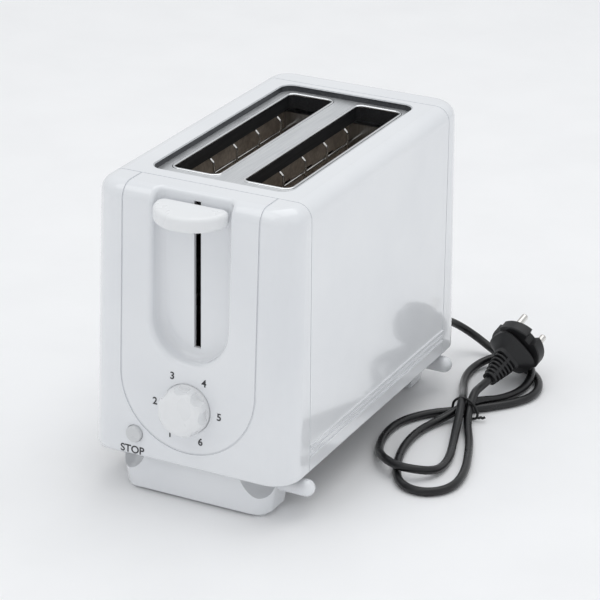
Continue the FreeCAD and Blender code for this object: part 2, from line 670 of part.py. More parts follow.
def lever_knob():
    """A half-moon paddle that stands out of the recess, with a blind pocket for the arm."""
    disc = rod("lever_disc", "0", "lever_back - 3", "lever_level - lever_thick / 2",
               "lever_half", "lever_thick")
    behind = slab("lever_behind", "40", "lever_back", "lever_level - 20", "40", "40")
    half = cut("lever_half_moon", disc, behind)
    corners = rounded("lever_corners", half, "lever_corner",
                      lambda e: upright(e) and near(e.BoundBox.YMax, SIZE["lever_back"]))
    soft = rounded("lever_soft", corners, "lever_round", lambda e: near(e.BoundBox.ZLength, 0))
    socket = slab("lever_socket", "arm_thick / 2", f"{FRONT} + 7", "lever_level - arm_height / 2",
                  "20", "arm_height")
    return keep("lever_knob", cut("lever_knob_solid", soft, socket))


# ---------------------------------------------------------------- the controls
def dial_knob():
    """A domed knob with eight flutes, made about its own axis and set in the front cover."""
    body = new_body("dial_knob_body")
    pad(body, "dial_pad", circle(new_sketch(body, "dial_outline", "XY_Plane", "0"),
                                 "dial_radius"), "dial_depth")
    body_fillet(body, "dial_dome", "dial_round", lambda e: flat_at(e, SIZE["dial_depth"]))
    flute_sketch = new_sketch(body, "dial_flute_outline", "XY_Plane", "dial_depth + 1")
    circle(flute_sketch, "flute_radius", "flute_reach")
    flute = pocket(body, "dial_flute", flute_sketch, "dial_depth + 1 - flute_low")
    pattern = body.newObject("PartDesign::PolarPattern", "dial_flutes")
    pattern.Originals = [flute]
    pattern.Axis = (flute_sketch, ["N_Axis"])
    pattern.Angle = 360
    pattern.Occurrences = 8
    body.Tip = pattern
    doc.recompute()
    bore_sketch = circle(new_sketch(body, "dial_bore_outline", "XY_Plane", "0"), "shaft_radius")
    pocket(body, "dial_bore", bore_sketch, "bore_depth", True)
    body.Placement = Placement(Vector(), Rotation(Vector(1, 0, 0), 90))
    bind(body, y=f"{FRONT} + dial_base", z="dial_level")
    return keep("dial_knob", body)


def controls():
    """The circuit board and what stands on it, the dial's shaft and the stop button."""
    dial_knob()
    start = f"({FRONT} + dial_base - bore_depth)"
    keep("dial_shaft", rod("shaft", "0", start, "dial_level", "shaft_radius",
                           f"board_y - pot_depth - 0.4 - {start}", "y"))
    keep("potentiometer", rod("pot", "0", "board_y - pot_depth", "dial_level", "pot_radius",
                              "pot_depth", "y"))
    keep("control_board", slab("circuit_board", "board_half", "board_y",
                               "body_under + base_thick", "1.6",
                               "board_top - body_under - base_thick"))
    face = rod("button_face", "button_x", f"{FRONT} - button_stand", "button_level",
               "button_radius", "10", "y")
    flange = rod("button_flange", "button_x", f"{FRONT} + wall + 1.3", "button_level",
                 "button_radius + 2", "2", "y")
    stem = rod("button_stem", "button_x", f"{FRONT} + 5", "button_level", "2.5", "9.5", "y")
    soft = rounded("button_soft", face, 1.2,
                   lambda e: near(e.BoundBox.YMin, front - SIZE["button_stand"])
                   and near(e.BoundBox.YMax, front - SIZE["button_stand"]))
    keep("stop_button", fuse("stop_button_solid", soft, flange, stem))
    keep("stop_switch", box("switch", "button_x - 4", "board_y - 4", "button_level - 4", "8",
                            "4", "8"))
    floor = "body_under + base_thick"
    reach = f"carriage_low + 6 - travel - 0.4 - ({floor})"
    core = box("magnet_core_solid", "-25", "carriage_face - 12", floor, "6", "8", reach)
    coil = box("magnet_coil_block", "-29", "carriage_face - 14", floor, "14", "12",
               f"{reach} - 1.6")
    keep("magnet_core", core)
    keep("magnet_coil", cut("magnet_coil_solid", coil, core))
    keep("terminal_block", box("terminals", "gland_x - 7", f"{REAR} - 28",
                               "body_under + base_thick", "14", "12", "12"))


# ---------------------------------------------------------------- the mains lead
def straight_and_arcs(points, radius):
    """A round tube along straight runs joined by tangent arcs as large as the runs allow."""
    edges = []
    radii = []
    last = points[0]
    for before, corner, after in zip(points, points[1:], points[2:]):
        into = (corner - before).normalize()
        out = (after - corner).normalize()
        turn = into.getAngle(out)
        reach = 0.45 * min((corner - before).Length, (after - corner).Length)
        radii.append(reach / math.tan(turn / 2))
        start = corner - into * reach
        end = corner + out * reach
        middle = corner + (out - into).normalize() * (radii[-1] / math.cos(turn / 2) - radii[-1])
        edges.append(Part.LineSegment(last, start).toShape())
        edges.append(Part.Arc(start, middle, end).toShape())
        last = end
    edges.append(Part.LineSegment(last, points[-1]).toShape())
    path = Part.Wire(edges)
    first = (points[1] - points[0]).normalize()
    section = Part.Wire([Part.Circle(points[0], first, radius).toShape()])
    tube = path.makePipeShell([section], True, False)
    expected = math.pi * radius ** 2 * path.Length
    print("tube", round(path.Length, 1), "mm, radii", [round(r) for r in radii],
          "volume ratio", round(tube.Volume / expected, 4))
    return tube


def plug_frame():
    """The place of the plug's face: local z points out along the pins."""
    yaw = Rotation(Vector(0, 0, 1), -SIZE["plug_yaw"])
    rise = Rotation(Vector(1, 0, 0), SIZE["plug_rise"] - 90)
    roll = Rotation(Vector(0, 0, 1), SIZE["plug_roll"])
    return Placement(PLUG_FACE, yaw * rise * roll)


PLUG_FACE = Vector(107.1, 153, 26.4)
LEAD_ROUTE = [(48.4, 160.5, 28), (53.5, 171, 21), (63, 177, 13), (75, 177, 6.2),
              (87, 172, 3), (97.5, 165, 2.9)]
TAIL_ROUTE = [(98, 82, 8.5), (98.7, 91, 11.3), (100.1, 102, 11.3)]
LEFT_LOBE = [(97, 74), (80, 73), (62, 52), (59, 30), (64, 4), (78, -20), (98, -40), (120, -47),
             (137, -38), (141, -10), (134, 24), (120, 54), (108, 76)]
RIGHT_LOBE = [(106, 80), (121, 96), (133, 118), (133, 140), (118, 160), (96, 168), (76, 168),
              (69, 152), (73, 128), (82, 100), (92, 76)]


def outline_plate(points, height):
    """A flat plate with a smooth closed outline through a few points."""
    curve = Part.BSplineCurve()
    curve.interpolate(Points=[Vector(x, y, 0) for x, y in points], PeriodicFlag=True)
    return Part.Face(Part.Wire([curve.toShape()])).extrude(Vector(0, 0, height))


def mains_lead():
    """The gland and its boot, the lead, the tied bundle, the tie and the plug with its pins."""
    flange = rod("gland_flange", "gland_x", f"{REAR} - wall - 3.8", "gland_level",
                 "cord_radius + 4", "3", "y")
    neck = rod("gland_neck", "gland_x", f"{REAR} - wall - 1", "gland_level",
               "cord_radius + 2.6", "wall + 2", "y")
    boot = doc.addObject("Part::Cone", "gland_boot")
    droop = SIZE["boot_droop"]
    boot.Placement = Placement(Vector(), Rotation(Vector(1, 0, 0), -90 - droop))
    bind(boot, Radius1="cord_radius + 2.3", Radius2="cord_radius + 0.9", Height="boot_length",
         x="gland_x", y=REAR, z="gland_level")
    keep("cord_gland", fuse("cord_gland_solid", flange, neck, boot))
    droop_way = Vector(0, math.cos(math.radians(droop)), -math.sin(math.radians(droop)))
    mouth = Vector(SIZE["gland_x"], rear, SIZE["gland_level"]) + droop_way * SIZE["boot_length"]
    points = [mouth] + [Vector(*p) for p in LEAD_ROUTE]
    solid("power_cord", straight_and_arcs(points, SIZE["cord_radius"]))

    place = plug_frame()
    tail = place.multVec(Vector(0, 0, -SIZE["plug_depth"] - SIZE["plug_tail"]))
    tail_points = [Vector(*p) for p in TAIL_ROUTE] + [tail]
    solid("plug_cord", straight_and_arcs(tail_points, SIZE["cord_radius"]))
    face, depth = SIZE["plug_radius"], SIZE["plug_depth"]
    rim = SIZE["plug_rim"]
    head = Part.makeCylinder(face, rim, Vector(0, 0, -rim))
    shoulder = Part.makeCone(8.5, face, depth - rim, Vector(0, 0, -depth))
    relief = Part.makeCone(4.6, 7.5, SIZE["plug_tail"], Vector(0, 0, -depth - SIZE["plug_tail"]))
    plug = head.fuse(shoulder).fuse(relief).removeSplitter()
    plug.Placement = place
    solid("plug_body", plug)

    lobes = outline_plate(LEFT_LOBE, SIZE["hank_height"]).fuse(
        outline_plate(RIGHT_LOBE, SIZE["hank_height"]))
    neck_box = Part.makeBox(20, 14, SIZE["neck_height"], Vector(89, 72, 0))
    under = plug.copy()
    under.translate(Vector(0, 0, -SIZE["plug_clear"]))
    hank = lobes.fuse(neck_box).removeSplitter().cut(plug).cut(under)
    solid("cord_hank", hank)
    band = Part.makeBox(23, SIZE["tie_width"], SIZE["neck_height"] + 1.5, Vector(87.5, 75.5, 0))
    solid("cord_tie", band.cut(hank))
    print("hank solids", len(hank.Solids))

    pins = []
    for side in (-1, 1):
        pin = Part.makeCylinder(SIZE["pin_radius"], SIZE["pin_length"],
                                Vector(side * SIZE["pin_spacing"] / 2, 0, 0))
        tip = [e for e in pin.Edges if near(e.BoundBox.ZMin, SIZE["pin_length"])
               and near(e.BoundBox.ZMax, SIZE["pin_length"])]
        pins.append(pin.makeFillet(1.4, tip))
    prongs = Part.makeCompound(pins)
    prongs.Placement = place
    solid("plug_pins", prongs)


# ---------------------------------------------------------------- build, check and write
front_cover()
rear_cover()
body_shell()
base_plate()
foot("front_foot", "front")
foot("rear_foot", "rear")
foot_pads()
base_screws()
crumb_tray()
crumb_handle()
top_plate()
end_plates()
heat_shields()
heater_boards()
guard_wires()
for rack_side, rack_sign in (("left", "-"), ("right", "")):
    bread_rack(rack_side, rack_sign)
carriage()
lever_knob()
controls()
mains_lead()
doc.recompute()

bad = [o.Name for o in doc.Objects if {"Invalid", "Error"} & set(o.State)]
bad += [name for name, item in subparts if item.Shape.isNull() or not item.Shape.isValid()]
if bad:
    raise RuntimeError(f"failed: {bad}")
os.makedirs("parts", exist_ok=True)
for name, item in subparts:
    item.Shape.exportStep(f"parts/{name}.step")
print(len(subparts), "sub-parts")
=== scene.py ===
"""The looks of a two-slice pop-up toaster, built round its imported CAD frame.

Everything is in metres, in the frame's own axes: +Z up, the lever end faces -Y, the toaster
rests on z = 0 and its mains lead lies beside it on the right.
"""
import math

import bmesh
import bpy
from mathutils import Matrix, Quaternion, Vector


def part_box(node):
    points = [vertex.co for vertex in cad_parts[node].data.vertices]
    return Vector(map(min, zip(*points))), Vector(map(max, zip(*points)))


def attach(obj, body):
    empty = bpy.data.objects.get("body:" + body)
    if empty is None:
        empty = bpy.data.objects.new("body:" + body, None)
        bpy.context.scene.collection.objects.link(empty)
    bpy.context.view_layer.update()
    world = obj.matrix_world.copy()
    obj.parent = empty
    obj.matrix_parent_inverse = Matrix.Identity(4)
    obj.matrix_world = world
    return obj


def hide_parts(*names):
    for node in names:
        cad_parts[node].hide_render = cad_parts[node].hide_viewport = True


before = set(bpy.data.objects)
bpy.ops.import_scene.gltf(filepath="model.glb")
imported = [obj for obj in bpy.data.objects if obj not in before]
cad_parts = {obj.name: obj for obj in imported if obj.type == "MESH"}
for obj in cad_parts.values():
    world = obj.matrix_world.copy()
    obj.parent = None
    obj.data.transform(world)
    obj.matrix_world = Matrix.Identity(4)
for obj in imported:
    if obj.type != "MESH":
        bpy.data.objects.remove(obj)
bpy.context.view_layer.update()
MM = 0.001
# where most of a noise factor lies
FACTOR_LOW, FACTOR_HIGH = 0.3, 0.7
COAT_ROUGHNESS = 0.06
# the upward part of the normal on an upright wall, and on a flat: between them the painted dark
# reflection and shade on the tray's walls gives way to the flats' colour
WALL_UP, FLAT_UP = 0.35, 0.8


# ---------------------------------------------------------------- node helpers
def new_material(name):
    """A material, its node tree, its Principled shader and its object coordinates."""
    material = bpy.data.materials.new(name)
    material.use_nodes = True
    tree = material.node_tree
    shader = tree.nodes["Principled BSDF"]
    place = tree.nodes.new("ShaderNodeTexCoord").outputs["Object"]
    return material, tree, shader, place


def stretched(tree, place, scale):
    """The object coordinates, scaled by a different amount along each axis."""
    node = tree.nodes.new("ShaderNodeMapping")
    node.inputs["Scale"].default_value = scale
    tree.links.new(place, node.inputs["Vector"])
    return node.outputs["Vector"]


def noise(tree, place, scale, detail=3.0, roughness=0.5):
    """A cloudy factor between 0 and 1, mostly near the middle."""
    node = tree.nodes.new("ShaderNodeTexNoise")
    node.inputs["Scale"].default_value = scale
    node.inputs["Detail"].default_value = detail
    node.inputs["Roughness"].default_value = roughness
    tree.links.new(place, node.inputs["Vector"])
    return node.outputs["Fac"]


def ramp(tree, factor, *stops):
    """A colour that runs through (position, colour) stops as the factor grows."""
    node = tree.nodes.new("ShaderNodeValToRGB")
    elements = node.color_ramp.elements
    while len(elements) < len(stops):
        elements.new(0.5)
    for element, (position, colour) in zip(elements, stops):
        element.position = position
        element.color = (*colour, 1.0)
    tree.links.new(factor, node.inputs["Fac"])
    return node.outputs["Color"]


def span(tree, factor, low, high):
    """A noise factor's usual range, brought to the range low to high."""
    node = tree.nodes.new("ShaderNodeMapRange")
    node.inputs["From Min"].default_value = FACTOR_LOW
    node.inputs["From Max"].default_value = FACTOR_HIGH
    node.inputs["To Min"].default_value = low
    node.inputs["To Max"].default_value = high
    tree.links.new(factor, node.inputs["Value"])
    return node.outputs["Result"]


def bump(tree, shader, height, distance):
    """Relief on the surface, as deep as distance in metres."""
    node = tree.nodes.new("ShaderNodeBump")
    node.inputs["Strength"].default_value = 1.0
    node.inputs["Distance"].default_value = distance
    tree.links.new(height, node.inputs["Height"])
    tree.links.new(node.outputs["Normal"], shader.inputs["Normal"])


def moulded(name, dark, light, rough, grain=900.0, depth=0.02 * MM, coat=0.0):
    """Moulded plastic or rubber: a faint drift of colour and gloss, and a fine surface."""
    material, tree, shader, place = new_material(name)
    drift = noise(tree, place, 14.0, 4.0)
    tree.links.new(ramp(tree, drift, (0.35, dark), (0.65, light)), shader.inputs["Base Color"])
    tree.links.new(span(tree, noise(tree, place, 60.0), *rough), shader.inputs["Roughness"])
    bump(tree, shader, noise(tree, place, grain, 2.0), depth)
    if coat:
        shader.inputs["Coat Weight"].default_value = coat
        shader.inputs["Coat Roughness"].default_value = COAT_ROUGHNESS
    return material


def brushed(name, dark, light, rough, scale, depth=0.01 * MM):
    """Rolled or brushed metal, whose lines run along the axis with the smallest scale."""
    material, tree, shader, place = new_material(name)
    lines = noise(tree, stretched(tree, place, scale), 1.0, 5.0, 0.65)
    smears = noise(tree, place, 45.0, 4.0)
    shader.inputs["Metallic"].default_value = 1.0
    tree.links.new(ramp(tree, lines, (0.3, dark), (0.7, light)), shader.inputs["Base Color"])
    tree.links.new(span(tree, smears, *rough), shader.inputs["Roughness"])
    bump(tree, shader, lines, depth)
    return material


def walled_steel():
    """The pressed tray: bright brushed flats, and upright walls painted near black, a painted
    reflection and shade of the dark inside.
    """
    material, tree, shader, place = new_material("tray_steel")
    lines = noise(tree, stretched(tree, place, (900.0, 25.0, 900.0)), 1.0, 5.0, 0.65)
    flat = ramp(tree, lines, (0.3, (0.6, 0.615, 0.63)), (0.7, (0.76, 0.77, 0.78)))
    # painted shade and reflection: the upright walls are coloured near black for the dark they
    # mirror
    wall = ramp(tree, lines, (0.3, (0.045, 0.047, 0.052)), (0.7, (0.085, 0.087, 0.092)))
    geometry = tree.nodes.new("ShaderNodeNewGeometry")
    split = tree.nodes.new("ShaderNodeSeparateXYZ")
    tree.links.new(geometry.outputs["Normal"], split.inputs["Vector"])
    # mask of the painted wall shade and reflection: 0 on upright walls, 1 on the flats
    painted_wall_shade_mask = tree.nodes.new("ShaderNodeMapRange")
    painted_wall_shade_mask.inputs["From Min"].default_value = WALL_UP
    painted_wall_shade_mask.inputs["From Max"].default_value = FLAT_UP
    tree.links.new(split.outputs["Z"], painted_wall_shade_mask.inputs["Value"])
    mix = tree.nodes.new("ShaderNodeMix")
    mix.data_type = "RGBA"
    tree.links.new(painted_wall_shade_mask.outputs["Result"], mix.inputs["Factor"])
    tree.links.new(wall, mix.inputs["A"])
    tree.links.new(flat, mix.inputs["B"])
    tree.links.new(mix.outputs["Result"], shader.inputs["Base Color"])
    shader.inputs["Metallic"].default_value = 0.75
    tree.links.new(span(tree, noise(tree, place, 45.0, 4.0), 0.3, 0.42),
                   shader.inputs["Roughness"])
    bump(tree, shader, lines, 0.01 * MM)
    return material


def coiled_steel():
    """Close-wound spring wire, seen as even turns up the spring, with painted shade in the
    grooves between them.
    """
    material, tree, shader, place = new_material("coiled_steel")
    turns = tree.nodes.new("ShaderNodeTexWave")
    turns.bands_direction = "Z"
    turns.inputs["Scale"].default_value = 260.0
    tree.links.new(place, turns.inputs["Vector"])
    shader.inputs["Metallic"].default_value = 1.0
    # painted shade: the dark bands between the turns stand for the shaded grooves between the
    # wires
    tree.links.new(ramp(tree, turns.outputs["Fac"], (0.15, (0.03, 0.03, 0.03)),
                        (0.7, (0.6, 0.59, 0.57))), shader.inputs["Base Color"])
    tree.links.new(span(tree, noise(tree, place, 90.0), 0.2, 0.35), shader.inputs["Roughness"])
    bump(tree, shader, turns.outputs["Fac"], 0.5 * MM)
    return material


def mica_board():
    """Mica sheet: grey-brown flakes with a dull sheen and darker, scorched patches."""
    material, tree, shader, place = new_material("mica")
    flakes = tree.nodes.new("ShaderNodeTexVoronoi")
    flakes.inputs["Scale"].default_value = 420.0
    tree.links.new(place, flakes.inputs["Vector"])
    blotches = noise(tree, place, 38.0, 6.0, 0.65)
    mix = tree.nodes.new("ShaderNodeMix")
    mix.data_type = "RGBA"
    mix.inputs["Factor"].default_value = 0.35
    tree.links.new(ramp(tree, blotches, (0.3, (0.24, 0.185, 0.14)), (0.7, (0.6, 0.51, 0.42))),
                   mix.inputs["A"])
    tree.links.new(ramp(tree, flakes.outputs["Distance"], (0.0, (0.58, 0.51, 0.43)),
                        (0.7, (0.22, 0.18, 0.145))), mix.inputs["B"])
    tree.links.new(mix.outputs["Result"], shader.inputs["Base Color"])
    tree.links.new(span(tree, blotches, 0.3, 0.6), shader.inputs["Roughness"])
    bump(tree, shader, flakes.outputs["Distance"], 0.05 * MM)
    return material


def wound_copper():
    """Enamelled wire wound in even turns up the coil, with painted shade in the grooves between
    them.
    """
    material, tree, shader, place = new_material("wound_copper")
    turns = tree.nodes.new("ShaderNodeTexWave")
    turns.bands_direction = "Z"
    turns.inputs["Scale"].default_value = 900.0
    turns.inputs["Distortion"].default_value = 0.4
    tree.links.new(place, turns.inputs["Vector"])
    shader.inputs["Metallic"].default_value = 0.8
    # painted shade: the darker bands between the turns stand for the shaded grooves between the
    # wires
    tree.links.new(ramp(tree, turns.outputs["Fac"], (0.1, (0.2, 0.07, 0.03)),
                        (0.8, (0.62, 0.26, 0.12))), shader.inputs["Base Color"])
    tree.links.new(span(tree, noise(tree, place, 90.0), 0.25, 0.4),
                   shader.inputs["Roughness"])
    bump(tree, shader, turns.outputs["Fac"], 0.2 * MM)
    return material


WHITE = moulded("white_plastic", (0.80, 0.815, 0.84), (0.84, 0.853, 0.873), (0.1, 0.18),
                coat=0.8)
KNOB_WHITE = moulded("white_knob_plastic", (0.83, 0.84, 0.85), (0.87, 0.875, 0.885),
                     (0.24, 0.34), coat=0.15)
BUTTON_WHITE = moulded("button_plastic", (0.66, 0.67, 0.68), (0.74, 0.75, 0.76), (0.25, 0.35))
TRAY_STEEL = walled_steel()
RIM_STEEL = brushed("rolled_rim_steel", (0.72, 0.73, 0.74), (0.85, 0.855, 0.86), (0.16, 0.26),
                    (60.0, 25.0, 60.0))
COILS = coiled_steel()
PLATE_STEEL = brushed("plate_steel", (0.5, 0.5, 0.49), (0.7, 0.7, 0.69), (0.3, 0.45),
                      (900.0, 900.0, 30.0))
DARK_STEEL = brushed("dark_steel", (0.16, 0.155, 0.15), (0.3, 0.29, 0.28), (0.3, 0.5),
                     (300.0, 60.0, 300.0))
BRIGHT_WIRE = brushed("bright_wire", (0.7, 0.69, 0.66), (0.86, 0.85, 0.83), (0.14, 0.24),
                      (200.0, 200.0, 60.0))
RIBBON = brushed("resistance_ribbon", (0.012, 0.011, 0.01), (0.04, 0.036, 0.033), (0.4, 0.55),
                 (400.0, 60.0, 400.0))
NICKEL = brushed("nickel_pins", (0.62, 0.6, 0.57), (0.8, 0.78, 0.75), (0.16, 0.28),
                 (300.0, 60.0, 300.0))
MICA = mica_board()
COPPER = wound_copper()
CORD_BLACK = moulded("cord_black", (0.003, 0.003, 0.0035), (0.007, 0.007, 0.008), (0.26, 0.34),
                     grain=500.0, depth=0.03 * MM)
PLUG_BLACK = moulded("plug_black", (0.006, 0.006, 0.007), (0.012, 0.012, 0.013),
                     (0.42, 0.55), grain=1600.0, depth=0.05 * MM)
TIE_BLACK = moulded("tie_black", (0.004, 0.004, 0.0045), (0.009, 0.009, 0.0095), (0.25, 0.35))
INK = moulded("dark_ink", (0.03, 0.03, 0.034), (0.05, 0.05, 0.055), (0.4, 0.5))
GREY = moulded("grey_plastic", (0.2, 0.2, 0.205), (0.27, 0.27, 0.275), (0.45, 0.6), 700.0,
               0.04 * MM)
RUBBER = moulded("pad_rubber", (0.55, 0.56, 0.57), (0.64, 0.65, 0.66), (0.55, 0.7), 1200.0,
                 0.06 * MM)
LAMINATE = moulded("board_laminate", (0.33, 0.22, 0.08), (0.42, 0.29, 0.12), (0.35, 0.5))
FLOOR = moulded("studio_floor", (0.93, 0.93, 0.935), (0.95, 0.95, 0.955), (0.55, 0.7), 40.0)

CAD_FINISHES = {
    WHITE: ["front_cover", "rear_cover", "body_shell", "front_foot", "rear_foot",
            "crumb_tray_handle"],
    KNOB_WHITE: ["dial_knob", "lever_knob"],
    BUTTON_WHITE: ["stop_button"],
    TRAY_STEEL: ["top_plate"],
    PLATE_STEEL: ["front_end_plate", "rear_end_plate", "heat_shield_left",
                  "heat_shield_right", "crumb_tray"],
    DARK_STEEL: ["bread_rack_left", "bread_rack_right", "carriage_bracket",
                 "armature_plate", "magnet_core", "base_screws"],
    COILS: ["carriage_spring"],
    BRIGHT_WIRE: ["guide_rod", "dial_shaft", "guard_wires_left_outer",
                  "guard_wires_left_inner", "guard_wires_right_outer",
                  "guard_wires_right_inner"],
    MICA: ["heater_board_left", "heater_board_centre", "heater_board_right"],
    RIBBON: ["heater_ribbon_left", "heater_ribbon_centre", "heater_ribbon_right"],
    GREY: ["base_plate", "potentiometer", "stop_switch", "terminal_block"],
    LAMINATE: ["control_board"],
    COPPER: ["magnet_coil"],
    RUBBER: ["foot_pads"],
    CORD_BLACK: ["power_cord", "plug_cord", "cord_hank", "cord_tie", "cord_gland"],
    PLUG_BLACK: ["plug_body"],
    NICKEL: ["plug_pins"],
}


def finish_cad_nodes():
    """Give every CAD node its finish."""
    for material, names in CAD_FINISHES.items():
        for name in names:
            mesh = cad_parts[name].data
            mesh.materials.clear()
            mesh.materials.append(material)


# ---------------------------------------------------------------- shape helpers
def add_object(name, data, material, body, replaced=(), place=None):
    """A new piece in the scene, riding on a body, that stands for the replaced CAD nodes."""
    piece = bpy.data.objects.new(name, data)
    bpy.context.scene.collection.objects.link(piece)
    if place:
        piece.matrix_world = place
    data.materials.append(material)
    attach(piece, body)
    if replaced:
        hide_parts(*replaced)
    return piece


def poly_curve(name, lines, radius, closed=False, sides=4):
    """A curve of straight-sided splines, in millimetres, with a round section."""
    curve = bpy.data.curves.new(name, "CURVE")
    curve.dimensions = "3D"
    curve.bevel_depth = radius * MM
    curve.bevel_resolution = sides
    curve.use_fill_caps = True
    for points in lines:
        spline = curve.splines.new("POLY")
        spline.points.add(len(points) - 1)
        for point, (x, y, z) in zip(spline.points, points):
            point.co = (x * MM, y * MM, z * MM, 1.0)
        spline.use_cyclic_u = closed
        spline.use_smooth = True
    return curve


def bent_curve(name, runs, radius, sides, steps):
    """A round, smoothly bending curve, in millimetres, from (points, closed) runs."""
    curve = bpy.data.curves.new(name, "CURVE")
    curve.dimensions = "3D"
    curve.bevel_depth = radius * MM
    curve.bevel_resolution = sides
    curve.resolution_u = steps
    curve.use_fill_caps = True
    for points, closed in runs:
        spline = curve.splines.new("NURBS")
        spline.points.add(len(points) - 1)
        for point, place in zip(spline.points, points):
            point.co = (*(Vector(place) * MM), 1.0)
        spline.order_u = 3
        spline.use_cyclic_u = closed
        spline.use_endpoint_u = not closed
    return curve


def rounded_rectangle(low, high, radius, z, steps=8):
    """Points round a rectangle with round corners, in millimetres."""
    corners = [(high[0] - radius, high[1] - radius, 0), (low[0] + radius, high[1] - radius, 90),
               (low[0] + radius, low[1] + radius, 180), (high[0] - radius, low[1] + radius, 270)]
    points = []
    for x, y, start in corners:
        for i in range(steps + 1):
            angle = math.radians(start + 90 * i / steps)
            points.append((x + radius * math.cos(angle), y + radius * math.sin(angle), z))
    return points


# ---------------------------------------------------------------- the camera, light and floor
CAMERA_PLACE = (0.7027, -1.3874, 0.7559)
CAMERA_AIM = (-0.0016, 0.0316, 0.0808)
CAMERA_ROLL, CAMERA_LENS = 0.94, 158.12
LIGHT_AIM = (0, 0, 0.1)
FLOOR_REACH = 12.0


def add_camera():
    """A long lens on the lever end's right, above the toaster, turned a little on its axis."""
    data = bpy.data.cameras.new("camera")
    data.lens = CAMERA_LENS
    data.sensor_width = 36.0
    data.clip_end = 20.0
    camera = bpy.data.objects.new("camera", data)
    bpy.context.scene.collection.objects.link(camera)
    camera.location = CAMERA_PLACE
    aim = Vector(CAMERA_AIM) - camera.location
    roll = Quaternion((0, 0, 1), math.radians(CAMERA_ROLL))
    camera.rotation_mode = "QUATERNION"
    camera.rotation_quaternion = aim.to_track_quat("-Z", "Y") @ roll
    bpy.context.scene.camera = camera


def add_light(name, place, size, power, colour=(1, 1, 1)):
    """A soft rectangular light, turned towards the toaster."""
    data = bpy.data.lights.new(name, "AREA")
    data.shape = "RECTANGLE"
    data.size, data.size_y = size
    data.energy = power
    data.color = colour
    light = bpy.data.objects.new(name, data)
    bpy.context.scene.collection.objects.link(light)
    light.location = place
    light.rotation_mode = "QUATERNION"
    light.rotation_quaternion = (Vector(LIGHT_AIM) - Vector(place)).to_track_quat("-Z", "Y")


def add_studio():
    """A plain pale studio: even light from all round, three soft boxes and a wide floor."""
    world = bpy.data.worlds.new("studio")
    world.use_nodes = True
    background = world.node_tree.nodes["Background"]
    background.inputs["Color"].default_value = (0.96, 0.98, 1.0, 1.0)
    background.inputs["Strength"].default_value = 0.7
    bpy.context.scene.world = world
    bpy.context.scene.view_settings.view_transform = "Standard"
    add_light("key", (-0.6, -1.0, 1.9), (1.6, 1.2), 5.5)
    add_light("top", (0.2, 0.5, 2.2), (2.0, 2.0), 13.0)
    add_light("right", (1.9, -0.1, 1.0), (1.2, 1.6), 1.2, (0.93, 0.96, 1.0))
    mesh = bpy.data.meshes.new("floor")
    mesh.from_pydata([(x * FLOOR_REACH, y * FLOOR_REACH, 0)
                      for x, y in ((-1, -1), (1, -1), (1, 1), (-1, 1))], [], [(0, 1, 2, 3)])
    mesh.materials.append(FLOOR)
    floor = bpy.data.objects.new("floor", mesh)
    bpy.context.scene.collection.objects.link(floor)


# ---------------------------------------------------------------- the mains lead
CORD_DIAMETER = 5.6
# from the boot down to the floor, then the bundle's loops through the tie and up to the plug
LEAD = [(48, 149, 32.2), (48.4, 160.5, 28), (53.5, 171, 21), (63, 177, 13), (75, 177, 6.2),
        (87, 172, 3), (97.5, 165, 2.9)]
OUTER_RIGHT = [(110, 162, 2.9), (122, 151, 2.9), (128.5, 136, 2.9), (128.5, 121, 2.9),
               (122, 108, 2.9), (112, 96, 2.9), (103, 87, 2.9)]
LEFT_LOOP_1 = [(94, 79, 2.9), (84, 71, 2.9), (75, 61, 2.9), (68, 48, 2.9), (65.5, 34, 2.9),
               (67, 17, 2.9), (72, 1, 3.4), (78.6, -10.8, 6.2), (86.6, -20.4, 8.6),
               (97.2, -25.6, 8.8), (108.6, -24, 8.2), (117.0, -15.4, 5.4), (118.8, -3.4, 3.1),
               (116.6, 13, 2.9), (111.6, 29, 2.9), (106, 46, 3.6), (101.5, 62, 7.8),
               (97.2, 76, 12.6)]
OUTER_LEFT = [(92.5, 90, 9.6), (87, 103, 6), (80.5, 118, 3.4), (76, 133, 2.9), (75.2, 146, 3),
              (78.8, 156.6, 4.8), (87, 163.6, 7.6), (97.6, 165.6, 8.6), (107.6, 162.4, 8.6),
              (115, 155, 8.2), (118.8, 145, 5.6), (119.2, 133, 3.1), (116.4, 119, 2.9),
              (110.6, 106, 3.6), (104.5, 95, 6.2)]
LEFT_LOOP_2 = [(99, 84, 8), (95.5, 72, 6.2), (91, 61, 4.4), (86, 49, 3.1), (83.5, 36, 2.9),
               (83.5, 21, 2.9), (86, 5, 2.9), (90.5, -10.5, 2.9), (96.5, -24.5, 2.9),
               (102.4, -34, 2.9), (111.4, -40.2, 2.9), (121.9, -40.5, 2.9), (130.4, -34.4, 2.9),
               (135, -25, 2.9), (135.2, -12, 2.9), (131.8, 4, 2.9), (126, 21, 2.9),
               (119.5, 38, 2.9), (112, 53, 3.1), (105.5, 67, 4.6)]
TO_PLUG = [(102.2, 79, 9.4), (100.8, 89, 13.8), (100.3, 100.5, 12.8)]
PLUG_FACE = (107.1, 153, 26.4)
# yaw, rise and roll in degrees
PLUG_TURN = (7.7, 16.9, 48.0)


def plug_frame():
    """The place of the plug's face, turned so that local +Z points out along the pins."""
    yaw, rise, roll = [math.radians(angle) for angle in PLUG_TURN]
    return (Matrix.Translation(Vector(PLUG_FACE) * MM) @ Matrix.Rotation(-yaw, 4, "Z")
            @ Matrix.Rotation(rise - math.pi / 2, 4, "X") @ Matrix.Rotation(roll, 4, "Z"))


PLUG = plug_frame()
PLUG_DEPTH, PLUG_TAIL = 19.5, 23.5


